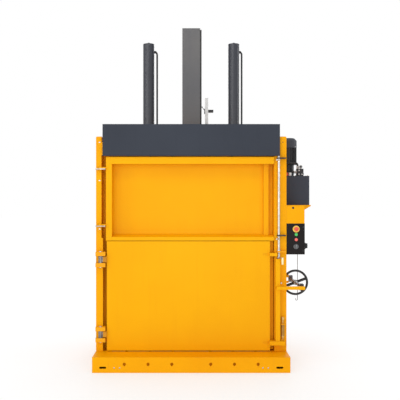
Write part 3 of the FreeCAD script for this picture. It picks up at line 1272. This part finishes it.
# ---------------------------------------------------------------- swing lock
def make_lock():
    """Clevis and pin, locking screw with its handwheel, cross nut and slotted keeper."""
    low = "(screw_height-wheel_arm_height/2-running_gap-clevis_cheek)"
    tall = "(wheel_arm_height+2*running_gap+2*clevis_cheek)"
    boss_y = f"({PIN_Y}+clevis_boss_start)"
    cheeks = []
    for i, z in enumerate((low, f"({low}+{tall}-clevis_cheek)")):
        plate = block(f"clevis_plate_{i}", "screw_x-clevis_width/2", PIN_Y, z,
                      "clevis_width", "clevis_boss_start", "clevis_cheek")
        nose = drum(f"clevis_nose_{i}", "screw_x", PIN_Y, z, "clevis_width/2", "clevis_cheek")
        cheeks += [plate, nose]
    boss = block("clevis_boss_block", "screw_x-clevis_width/2", boss_y, low,
                 "clevis_width", "clevis_boss", tall)
    clevis = cut(
        "clevis", join("clevis_welded", boss, *cheeks),
        drum("clevis_pin_hole", "screw_x", PIN_Y, f"{low}-1", "arm_pin_radius", f"{tall}+2"),
        drum("clevis_bore", "screw_x", f"{boss_y}-1", "screw_height", "screw_radius+shaft_fit",
             "clevis_boss+2", "Y"),
    )
    pin = join(
        "clevis_pin",
        drum("clevis_pin_bar", "screw_x", PIN_Y, f"{low}-pin_head", "arm_pin_radius",
             f"{tall}+pin_head"),
        drum("clevis_pin_head", "screw_x", PIN_Y, f"{low}+{tall}", "arm_pin_radius+pin_head_extra",
             "pin_head"),
    )
    node(group("swing_clevis", clevis, pin), "swing_clevis")

    start = f"({boss_y}-running_gap-screw_collar)"
    end = f"({PIN_Y}+screw_end)"
    screw = join(
        "lock_screw",
        drum("screw_bar", "screw_x", start, "screw_height", "screw_radius", f"{end}-{start}", "Y"),
        drum("screw_collar_0", "screw_x", start, "screw_height", "screw_head_radius",
             "screw_collar", "Y"),
        drum("screw_collar_1", "screw_x", f"{boss_y}+clevis_boss+running_gap", "screw_height",
             "screw_collar_radius", "screw_collar", "Y"),
        drum("screw_collar_2", "screw_x", f"{end}-screw_collar", "screw_height",
             "screw_collar_radius", "screw_collar", "Y"),
    )
    node(screw, "lock_screw")

    wheel_y = f"({PIN_Y}+wheel_plane)"
    ring = "(wheel_radius-wheel_rim)"
    rim = doc.addObject("Part::Torus", "wheel_rim_ring")
    rim.setExpression("Radius1", cells(ring))
    rim.setExpression("Radius2", cells("wheel_rim"))
    place(rim, "screw_x", wheel_y, "screw_height", Vector(1, 0, 0), 90)
    hub = drum("wheel_hub_drum", "screw_x", f"{wheel_y}-wheel_hub/2", "screw_height",
               "wheel_hub_radius", "wheel_hub", "Y")
    spoke = doc.addObject("Part::Cylinder", "wheel_spokes")
    spoke.setExpression("Radius", cells("wheel_spoke/2"))
    spoke.setExpression("Height", cells(f"2*{ring}"))
    place(spoke, f"screw_x-{ring}*cos(wheel_spoke_tilt)", wheel_y,
          f"screw_height-{ring}*sin(wheel_spoke_tilt)", Vector(0, 1, 0), "90-wheel_spoke_tilt")
    bore = drum("wheel_bore", "screw_x", f"{wheel_y}-wheel_hub", "screw_height", "screw_radius",
                "2*wheel_hub", "Y")
    node(cut("handwheel", join("handwheel_cast", rim, hub, spoke), bore), "handwheel")

    keeper_y = f"({PIN_Y}+keeper_front)"
    nut_y = f"({keeper_y}+keeper_sheet+nut_gap)"
    nut = block("nut_block", "screw_x-nut_width/2", nut_y, "screw_height-nut_height/2",
                "nut_width", "nut_length", "nut_height")
    bore = drum("nut_bore", "screw_x", f"{nut_y}-1", "screw_height", "screw_radius+shaft_fit",
                "nut_length+2", "Y")
    node(cut("cross_nut", nut, bore), "cross_nut")

    wall = f"({CHAMBER}+wall_sheet)"
    plate = block("keeper_plate", wall, keeper_y, "keeper_low", f"keeper_reach-{wall}",
                  "keeper_sheet", "keeper_high-keeper_low")
    way = block("keeper_way", "keeper_slot_end", f"{keeper_y}-1", "screw_height-keeper_slot/2",
                "keeper_reach-keeper_slot_end+1", "keeper_sheet+2", "keeper_slot")
    way_end = drum("keeper_way_end", "keeper_slot_end", f"{keeper_y}-1", "screw_height",
                   "keeper_slot/2", "keeper_sheet+2", "Y")
    node(cut("spindle_keeper", plate, way, way_end), "spindle_keeper")


# ---------------------------------------------------------------- latch and catch
def make_latch():
    """The upright latch rod with its fingers, its guides and the grip on its lever."""
    guides = []
    for i, z in enumerate(("guide_bottom", "guide_middle", "guide_top")):
        plate = block(f"guide_plate_{i}", "latch_x-guide_left", f"{LATCH_Y}-guide_front", z,
                      "guide_left+guide_right", "guide_front+latch_proud", "guide_sheet")
        hole = drum(f"guide_hole_{i}", "latch_x", LATCH_Y, f"{z}-1", "latch_radius+shaft_fit",
                    "guide_sheet+2")
        guides.append(cut(f"guide_{i}", plate, hole))
    for i, z in enumerate(("catch_lug_low", "catch_lug_high")):
        plate = block(f"catch_plate_{i}", "catch_x-catch_lug_half", f"{LATCH_Y}-catch_lug_front", z,
                      "2*catch_lug_half", "catch_lug_front+latch_proud", "catch_lug")
        hole = drum(f"catch_hole_{i}", "catch_x", LATCH_Y, f"{z}-1", "catch_radius+shaft_fit",
                    "catch_lug+2")
        guides.append(cut(f"catch_lug_{i}", plate, hole))
    node(group("right_post_brackets", *guides), "right_post_brackets")

    parts = [drum("latch_bar", "latch_x", LATCH_Y, "latch_low", "latch_radius",
                  "latch_high-latch_low")]
    collars = ("guide_bottom+guide_sheet+running_gap", "guide_top-latch_collar-running_gap")
    for i, z in enumerate(collars):
        parts.append(drum(f"latch_collar_{i}", "latch_x", LATCH_Y, z, "latch_collar_radius",
                          "latch_collar"))
    for i, z in enumerate(("finger_low", "finger_high")):
        parts.append(arm_bar(f"finger_{i}", z, "finger_length", "finger_width", "finger_height",
                             "(180+finger_turn)"))
    parts.append(arm_bar("latch_lever", "latch_low", "lever_reach", "lever_width", "lever_sheet",
                         "lever_turn"))
    parts.append(drum("latch_boss", "latch_x", LATCH_Y, "latch_low", "latch_collar_radius",
                      "lever_sheet"))
    node(join("latch_rod", *parts), "latch_rod")
    grip = drum("grip_bar", "latch_x+lever_reach*cos(lever_turn)",
                f"{LATCH_Y}+lever_reach*sin(lever_turn)", "latch_low-grip_length+lever_sheet",
                "grip_radius", "grip_length")
    node(cut("grip", grip, arm_bar("grip_slot", "latch_low", "lever_reach", "lever_width",
                                   "lever_sheet", "lever_turn")), "latch_grip")


def arm_bar(name, z, reach, width, height, angle):
    """A bar that leaves the latch rod's axis at an angle from +X."""
    half = f"({width}/2)"
    return block(name, f"latch_x+{half}*sin({angle})", f"{LATCH_Y}-{half}*cos({angle})", z,
                 reach, width, height, Vector(0, 0, 1), angle)


def biarc(start, start_way, end, end_way):
    """Two arcs that leave and reach two points along given directions."""
    reach = end - start
    ways = start_way + end_way
    square = 2 * (1 - start_way.dot(end_way))
    across = reach.dot(ways)
    step = (math.sqrt(across ** 2 + square * reach.dot(reach)) - across) / square
    joint = (start + start_way * step + end - end_way * step) * 0.5
    return [arc_from(start, start_way, joint), arc_from(joint, None, end, end_way)]


def arc_from(start, start_way, end, end_way=None):
    """The arc between two points with a known direction at one end."""
    chord = end - start
    along = Vector(chord).normalize()
    way = start_way if end_way is None else along * (2 * end_way.dot(along)) - end_way
    side = way - along * way.dot(along)
    turn = way.getAngle(along)
    middle = start + chord * 0.5 + side.normalize() * (chord.Length / 2 * math.tan(turn / 2))
    return Part.Arc(start, middle, end).toShape()


def coil_wire(axis_x, axis_y, low, high, radius, turns):
    """A helix drawn as one smooth chain of arcs, a biarc for each quarter turn."""
    rise = (high - low) / turns
    steps = int(round(4 * turns))

    def at(i):
        angle = math.pi / 2 * i
        spot = Vector(axis_x + radius * math.cos(angle), axis_y + radius * math.sin(angle),
                      low + rise * i / 4)
        way = Vector(-math.sin(angle), math.cos(angle), rise / (2 * math.pi * radius))
        return spot, way.normalize()

    edges = []
    for i in range(steps):
        edges += biarc(*at(i), *at(i + 1))
    return Part.Wire(edges)


def make_catch():
    """The sprung catch bolt beside the lock bar's lower end."""
    spring_low = "(catch_collar_low+catch_collar+running_gap)"
    spring_high = "(catch_lug_high-running_gap)"
    node(join(
        "catch_bolt",
        drum("catch_bar", "catch_x", LATCH_Y, "catch_tip", "catch_radius",
             "catch_knob_low+catch_knob/2-catch_tip"),
        drum("catch_collar_ring", "catch_x", LATCH_Y, "catch_collar_low", "catch_collar_radius",
             "catch_collar"),
        drum("catch_knob_drum", "catch_x", LATCH_Y, "catch_knob_low", "catch_knob_radius",
             "catch_knob"),
    ), "catch_bolt")
    wire = value("spring_wire")
    low = value(spring_low) + wire
    high = value(spring_high) - wire
    path = coil_wire(value("catch_x"), value(LATCH_Y), low, high, value("spring_radius"),
                     value("spring_turns"))
    spring = feature("catch_coil", tube_along(path, wire))
    report_sweep("catch spring", spring.Shape, path, wire)
    gap = (high - low) / value("spring_turns") * math.cos(math.atan2(
        (high - low) / value("spring_turns"), 2 * math.pi * value("spring_radius"))) - 2 * wire
    print(f"catch spring: least gap between turns {gap:.2f} mm")
    node(spring, "catch_spring")


def report_sweep(name, shape, path, radius):
    """Compare a swept solid with its section times its length."""
    expected = math.pi * radius ** 2 * path.Length
    print(f"{name}: length {path.Length:.1f} mm, volume over section x length "
          f"{shape.Volume / expected:.4f}")


# ---------------------------------------------------------------- limit switch
def make_switch():
    """The limit switch that the mast's strip works, on its own bracket."""
    front = f"({CENTRE}-crosshead_depth/2)"
    body_y = f"({front}+switch_bracket_sheet)"
    lever_y = f"({body_y}+switch_depth+running_gap)"
    pin_length = 10
    node(block("switch_bracket", "switch_bracket_x", front, CROSSHEAD_TOP, "switch_bracket_width",
               "switch_bracket_sheet", f"switch_bracket_top-{CROSSHEAD_TOP}"), "switch_bracket")
    head_x = "(switch_pivot_x-switch_head_left)"
    head = block("switch_head_block", head_x, body_y, "switch_height-switch_head_height/2",
                 "switch_head", "switch_depth", "switch_head_height")
    tail = block("switch_tail_block", f"{head_x}+switch_head", body_y,
                 "switch_height-switch_tail_height/2", "switch_tail", "switch_depth",
                 "switch_tail_height")
    bore = drum("switch_bore", "switch_pivot_x", f"{body_y}+switch_depth-{pin_length}",
                "switch_height", "switch_pin_radius+shaft_fit", f"{pin_length}+1", "Y")
    node(cut("switch_body", join("switch_case", head, tail), bore), "switch_body")
    top = "(switch_height+switch_roller_rise)"
    section = [
        ("switch_pivot_x-switch_pin_radius", "switch_height"),
        ("switch_pivot_x+switch_pin_radius", "switch_height"),
        ("switch_roller_x+switch_roller_radius/2", top),
        ("switch_roller_x-switch_roller_radius/2", top),
    ]
    node(join(
        "switch_lever",
        profile("switch_arm_plate", "XZ_Plane", [section], "switch_arm",
                y=f"{lever_y}+switch_arm"),
        drum("switch_boss", "switch_pivot_x", lever_y, "switch_height", "switch_boss_radius",
             "switch_arm", "Y"),
        drum("switch_shaft", "switch_pivot_x", f"{lever_y}-{pin_length}+1", "switch_height",
             "switch_pin_radius", f"{pin_length}", "Y"),
        drum("switch_roller", "switch_roller_x", lever_y, top, "switch_roller_radius",
             "switch_arm+switch_roller_width", "Y"),
    ), "switch_lever")


# ---------------------------------------------------------------- side unit
def make_controls():
    """Control box with its buttons, the bracket above it and the isolator at its side."""
    face = POST
    outer = rounded(
        "box_outer",
        block("box_blank", HALF, face, "box_low", "box_width", "box_depth", "box_high-box_low"),
        "box_corner", runs_along(Vector(0, 0, 1)),
    )
    inner = block("box_inner", f"{HALF}+box_wall", f"{face}+box_wall", "box_low+box_wall",
                  "box_width-2*box_wall", "box_depth-2*box_wall", "box_high-box_low-2*box_wall")
    stem = "(mushroom_stem+shaft_fit)"
    holes = {
        "estop": ("estop_height", stem), "start": ("start_height", "(button_radius+shaft_fit)"),
        "stop": ("stop_height", "(button_radius+shaft_fit)"), "selector": ("selector_height", stem),
    }
    bosses = []
    sockets = []
    for name, (z, radius) in holes.items():
        bosses.append(drum(f"{name}_boss", "button_x", face, z, f"{radius}+box_wall",
                           "socket_depth+box_wall", "Y"))
        sockets.append(drum(f"{name}_socket", "button_x", f"{face}-1", z, radius,
                            "socket_depth+1", "Y"))
    side = f"({HALF}+box_width)"
    isolator_y = f"({face}+box_depth/2)"
    bosses.append(drum("isolator_boss", f"{side}-socket_depth-box_wall", isolator_y,
                       "isolator_height", f"{stem}+box_wall", "socket_depth+box_wall", "X"))
    sockets.append(drum("isolator_socket", f"{side}-socket_depth", isolator_y,
                        "isolator_height", stem, "socket_depth+1", "X"))
    box = cut("box", join("box_with_bosses", cut("box_shell", outer, inner), *bosses), *sockets)
    base = cut(
        "isolator_plate",
        block("isolator_square", side, f"{isolator_y}-isolator_base/2",
              "isolator_height-isolator_base/2", "isolator_depth", "isolator_base", "isolator_base"),
        drum("isolator_plate_hole", f"{side}-1", isolator_y, "isolator_height", stem,
             "isolator_depth+2", "X"),
    )
    bezels = [
        cut(f"{name}_bezel",
            drum(f"{name}_bezel_ring", "button_x", f"{face}-bezel_depth", z, "bezel_radius",
                 "bezel_depth", "Y"),
            drum(f"{name}_bezel_hole", "button_x", f"{face}-bezel_depth-1", z, radius,
                 "bezel_depth+2", "Y"))
        for name, (z, radius) in holes.items() if name in ("start", "stop")
    ]
    node(group("control_box", box, base, *bezels), "control_box")

    node(cut("estop_collar",
             drum("estop_disc", "button_x", f"{face}-estop_collar_depth", "estop_height",
                  "estop_collar_radius", "estop_collar_depth", "Y"),
             drum("estop_disc_hole", "button_x", f"{face}-estop_collar_depth-1", "estop_height",
                  stem, "estop_collar_depth+2", "Y")), "estop_collar")
    head_y = f"({face}-estop_collar_depth-estop_travel-mushroom_depth)"
    node(join("estop_mushroom",
              drum("estop_head", "button_x", head_y, "estop_height", "mushroom_radius",
                   "mushroom_depth", "Y"),
              drum("estop_stem", "button_x", head_y, "estop_height", "mushroom_stem",
                   f"{face}+button_inside-{head_y}", "Y")), "estop_mushroom")
    for name in ("start", "stop"):
        node(drum(f"{name}_button", "button_x", f"{face}-bezel_depth-button_proud",
                  f"{name}_height", "button_radius", "bezel_depth+button_proud+button_inside", "Y"),
             f"{name}_button")
    disc_y = f"({face}-running_gap-knob_depth)"
    node(join("selector_knob",
              drum("selector_disc", "button_x", disc_y, "selector_height", "selector_radius",
                   "knob_depth", "Y"),
              block("selector_bar", "button_x-knob_bar/2", f"{disc_y}-knob_bar_depth",
                    "selector_height-selector_radius+1", "knob_bar", "knob_bar_depth",
                    "2*selector_radius-2"),
              drum("selector_stem", "button_x", disc_y, "selector_height", "mushroom_stem",
                   f"knob_depth+running_gap+button_inside", "Y")), "selector_knob")
    disc_x = f"({side}+isolator_depth+running_gap)"
    node(join("isolator_handle",
              drum("isolator_disc", disc_x, isolator_y, "isolator_height", "isolator_radius",
                   "knob_depth", "X"),
              block("isolator_bar", f"{disc_x}+knob_depth", f"{isolator_y}-knob_bar/2",
                    "isolator_height-isolator_radius+1", "knob_bar_depth", "knob_bar",
                    "2*isolator_radius-2"),
              drum("isolator_stem", f"{side}-button_inside", isolator_y, "isolator_height",
                   "mushroom_stem", "button_inside+isolator_depth+running_gap+1", "X")),
         "isolator_handle")

    right = f"({HALF}+console_width)"
    back = f"({face}+console_depth)"
    section = [
        (HALF, face), (right, face), (right, back), (f"{right}-console_sheet", back),
        (f"{right}-console_sheet", f"{face}+console_sheet"),
        (f"{HALF}+console_sheet", f"{face}+console_sheet"), (f"{HALF}+console_sheet", back),
        (HALF, back),
    ]
    folded = profile("console_sheet_metal", "XY_Plane", [section], "console_high-box_high",
                     z="box_high")
    hole = drum("console_round_hole", "console_hole_x", f"{face}-1", "console_hole_height",
                "console_hole", "console_sheet+2", "Y")
    node(cut("console_bracket", folded, hole), "console_bracket")


def make_tank():
    """Tray, oil tank, caps and the hook that hangs below."""
    wall = f"({CHAMBER}+wall_sheet)"
    right = f"({HALF}+console_width)"
    plan = [
        (HALF, POST), (right, POST), (right, "tray_front"), ("tray_reach", "tray_front"),
        ("tray_reach", "tray_back"), (wall, "tray_back"), (wall, "tray_front"), (HALF, "tray_front"),
    ]
    plate = profile("tray_plate", "XY_Plane", [plan], "tray_sheet", z="console_high")
    low = "(console_high-gusset_drop)"
    toe = "(tray_reach-1.7*gusset_drop)"
    side = [(wall, low), (toe, low), ("tray_reach", "console_high"), (wall, "console_high")]
    gussets = [
        profile(f"gusset_{i}", "XZ_Plane", [side], "tray_sheet", y=y)
        for i, y in enumerate(("tray_front+tray_sheet", "tray_back"))
    ]
    peg_y = "(hook_y-2*hook_bend)"
    peg_z = "(console_high-gusset_drop/2)"
    peg = drum("hook_peg", "hook_x", peg_y, peg_z, "hook_peg_radius",
               f"tray_back-tray_sheet/2-{peg_y}", "Y")
    node(join("tank_tray", plate, peg, *gussets), "tank_tray")

    front = "(tray_front+tank_front)"
    foot = "(console_high+tray_sheet)"
    outer = rounded(
        "tank_outer",
        block("tank_blank", "tank_left", front, foot, "tank_width", "tank_depth", "tank_height"),
        "tank_corner", runs_along(Vector(0, 0, 1)),
    )
    inner = rounded(
        "tank_inner",
        block("tank_inner_blank", "tank_left+tank_wall", f"{front}+tank_wall", f"{foot}+tank_wall",
              "tank_width-2*tank_wall", "tank_depth-2*tank_wall", "tank_height-2*tank_wall"),
        "tank_corner-tank_wall", runs_along(Vector(0, 0, 1)),
    )
    node(cut("oil_tank", outer, inner), "oil_tank")

    eye = value("hook_peg_radius+running_gap+hook_radius")
    wire = value("hook_radius")
    x, y, top = value("hook_x"), value("hook_y"), value(peg_z)
    bend = value("hook_bend")
    low = value("hook_low") + wire + bend
    path = Part.Wire([
        Part.LineSegment(Vector(x, y, top - eye), Vector(x, y, low)).toShape(),
        Part.Arc(Vector(x, y, low), Vector(x - bend, y, low - bend),
                 Vector(x - 2 * bend, y, low)).toShape(),
        Part.LineSegment(Vector(x - 2 * bend, y, low), Vector(x - 2 * bend, y, low + bend)).toShape(),
    ])
    ring = Part.makeTorus(eye, wire, Vector(x, y, top), Vector(0, 1, 0))
    hook = tube_along(path, wire).fuse(ring).removeSplitter()
    node(feature("hook_wire", hook.Solids[0]), "threading_hook")


def ring_of_blocks(name, count, x, y, z, inner, length, width, height):
    """Blocks set out like rays round an upright axis."""
    rays = []
    for i in range(count):
        turn = 360 / count * i
        rays.append(block(
            f"{name}_{i}",
            f"{x}+({inner})*cos({turn:.6f})+({width})/2*sin({turn:.6f})",
            f"{y}+({inner})*sin({turn:.6f})-({width})/2*cos({turn:.6f})",
            z, length, width, height, Vector(0, 0, 1), f"{turn:.6f}",
        ))
    return rays


def make_pump():
    """Bell housing, finned motor, its fan under a slotted cowl, and the valve block."""
    node(drum("bell_housing", "motor_x", "motor_y", TANK_TOP, "bell_radius", "bell_height"),
         "bell_housing")
    body_z = f"({MOTOR_FOOT}+motor_flange)"
    fins = ring_of_blocks(
        "fin", int(value("fin_count")), "motor_x", "motor_y", body_z, "motor_radius/2",
        "motor_radius/2+fin_reach", "fin_sheet", "motor_height",
    )
    case = join(
        "motor_case",
        drum("motor_flange_disc", "motor_x", "motor_y", MOTOR_FOOT, "motor_flange_radius",
             "motor_flange"),
        drum("motor_drum", "motor_x", "motor_y", body_z, "motor_radius", "motor_height"),
        block("terminal_box", "motor_x-terminal_width/2", "motor_y+motor_radius/2",
              f"{body_z}+motor_height/4", "terminal_width",
              "motor_radius/2+fin_reach+terminal_depth", "motor_height/2"),
        *fins,
    )
    shaft_z = f"({MOTOR_TOP}-2*fan_gap)"
    hole = drum("motor_shaft_hole", "motor_x", "motor_y", f"{shaft_z}-1",
                "fan_shaft_radius+shaft_fit", "2*fan_gap+2")
    node(cut("motor_body", case, hole), "motor_body")

    low = MOTOR_TOP
    high = f"({MOTOR_TOP}+cowl_height)"
    edge = "(cowl_radius-cowl_dome)"
    bevel = "(cowl_sheet*0.414)"
    section = [
        ("cowl_radius-cowl_sheet", low), ("cowl_radius", low), ("cowl_radius", f"{high}-cowl_dome"),
        (edge, high), ("0", high), ("0", f"{high}-cowl_sheet"),
        (f"{edge}-{bevel}", f"{high}-cowl_sheet"),
        ("cowl_radius-cowl_sheet", f"{high}-cowl_dome-{bevel}"),
    ]
    dome = turned("cowl_dome_sheet", section, "motor_x", "motor_y", "0")
    slots = ring_of_blocks(
        "cowl_slot", int(value("cowl_slot_count")), "motor_x", "motor_y", f"{high}-2*cowl_sheet",
        "cowl_slot_inner", "cowl_slot_outer-cowl_slot_inner", "cowl_slot_width", "3*cowl_sheet",
    )
    node(cut("fan_cowl", dome, *slots), "fan_cowl")

    fan_z = f"({MOTOR_TOP}+fan_gap)"
    blades = ring_of_blocks(
        "fan_blade", int(value("fan_blades")), "motor_x", "motor_y", fan_z, "fan_hub_radius/2",
        "fan_radius-fan_hub_radius/2", "fan_blade", "fan_height",
    )
    node(join(
        "motor_fan",
        drum("fan_hub", "motor_x", "motor_y", fan_z, "fan_hub_radius", "fan_height"),
        drum("fan_shaft", "motor_x", "motor_y", shaft_z, "fan_shaft_radius", "3*fan_gap+1"),
        *blades,
    ), "motor_fan")

    valve_front = "(valve_y-valve_depth/2)"
    node(join(
        "valve_block",
        block("valve_cube", "valve_x-valve_width/2", valve_front, TANK_TOP, "valve_width",
              "valve_depth", "valve_height"),
        drum("solenoid", "valve_x", "valve_y+valve_depth/2", f"{TANK_TOP}+valve_height/2",
             "solenoid_radius", "solenoid_height", "Y"),
    ), "valve_block")
    gauge_y = f"({valve_front}+gauge_setback)"
    gauge_x = "(valve_x+gauge_offset)"
    gauge = join(
        "gauge",
        drum("gauge_case", gauge_x, gauge_y, "gauge_height", "gauge_radius", "gauge_depth", "Y"),
        drum("gauge_stem", gauge_x, f"{gauge_y}+gauge_depth/2", f"{TANK_TOP}+valve_height",
             "gauge_depth/3", f"gauge_height-gauge_radius/2-{TANK_TOP}-valve_height"),
    )
    caps = [
        drum(f"cap_{i}", x, "cap_y", TANK_TOP, "breather_radius", "breather_height")
        for i, x in enumerate(("cap_x", "cap_x+cap_pitch"))
    ]
    node(group("tank_fittings", gauge, *caps), "tank_fittings")


def easy_bends(name, points):
    """Bend radii that use the free run at every corner, printed for each."""
    radii = []
    for before, corner, after in zip(points, points[1:], points[2:]):
        shorter = min((corner - before).Length, (after - corner).Length)
        turn = (corner - before).getAngle(after - corner)
        radii.append(0.45 * shorter / math.tan(turn / 2))
    print(name + ": bend radii " + ", ".join(f"{radius:.0f}" for radius in radii) + " mm")
    return radii


def make_hoses():
    """Two hydraulic hoses from the valve block to ports in the side wall."""
    y = value("valve_y")
    wall = value(f"{CHAMBER}+wall_sheet")
    block_left = value("valve_x-valve_width/2")
    block_top = value(f"{TANK_TOP}+valve_height")
    port = value("valve_x-hose_port")
    high, low = value("high_hose"), value("low_hose")
    fitting = value("hose_fitting")
    radius = value("hose_radius")
    sag = 2 * radius
    span = block_left - wall - 2 * fitting
    third = [wall + fitting + span * part for part in (0.2, 0.5, 0.8)]
    routes = {
        "high hose": [
            Vector(port, y, block_top + fitting), Vector(port, y, high),
            Vector(wall + fitting, y, high),
        ],
        "low hose": [
            Vector(block_left - fitting, y, low), Vector(third[2], y, low),
            Vector(third[1], y, low - sag), Vector(third[0], y, low),
            Vector(wall + fitting, y, low),
        ],
    }
    hoses = []
    for name, points in routes.items():
        path = bent_path(points, easy_bends(name, points))
        hose = feature(name.replace(" ", "_") + "_tube", tube_along(path, radius))
        report_sweep(name, hose.Shape, path, radius)
        hoses.append(hose)
    ends = [
        drum("high_port_fitting", f"{CHAMBER}+wall_sheet", "valve_y", "high_hose",
             "hose_fitting_radius", "hose_fitting", "X"),
        drum("low_port_fitting", f"{CHAMBER}+wall_sheet", "valve_y", "low_hose",
             "hose_fitting_radius", "hose_fitting", "X"),
        drum("high_block_fitting", "valve_x-hose_port", "valve_y", f"{TANK_TOP}+valve_height",
             "hose_fitting_radius", "hose_fitting"),
        drum("low_block_fitting", "valve_x-valve_width/2-hose_fitting", "valve_y", "low_hose",
             "hose_fitting_radius", "hose_fitting", "X"),
    ]
    node(group("hydraulic_hoses", *hoses, *ends), "hydraulic_hoses")


make_base()
make_posts()
make_walls()
make_top()
make_cylinders()
make_ram()
make_hinges()
make_upper_door()
make_lower_door()
make_lock()
make_latch()
make_catch()
make_switch()
make_controls()
make_tank()
make_pump()
make_hoses()

doc.removeObject("working")
doc.recompute()
for item in doc.Objects:
    if "Invalid" in item.State or "Error" in item.State:
        raise RuntimeError(f"{item.Name} did not build")
for piece in nodes:
    if piece.Shape.isNull() or not piece.Shape.isValid():
        raise RuntimeError(f"{piece.Label} has no valid shape")

os.makedirs("parts", exist_ok=True)
for piece in nodes:
    piece.Shape.exportStep(f"parts/{piece.Label}.step")
print(f"{len(nodes)} sub-parts written")
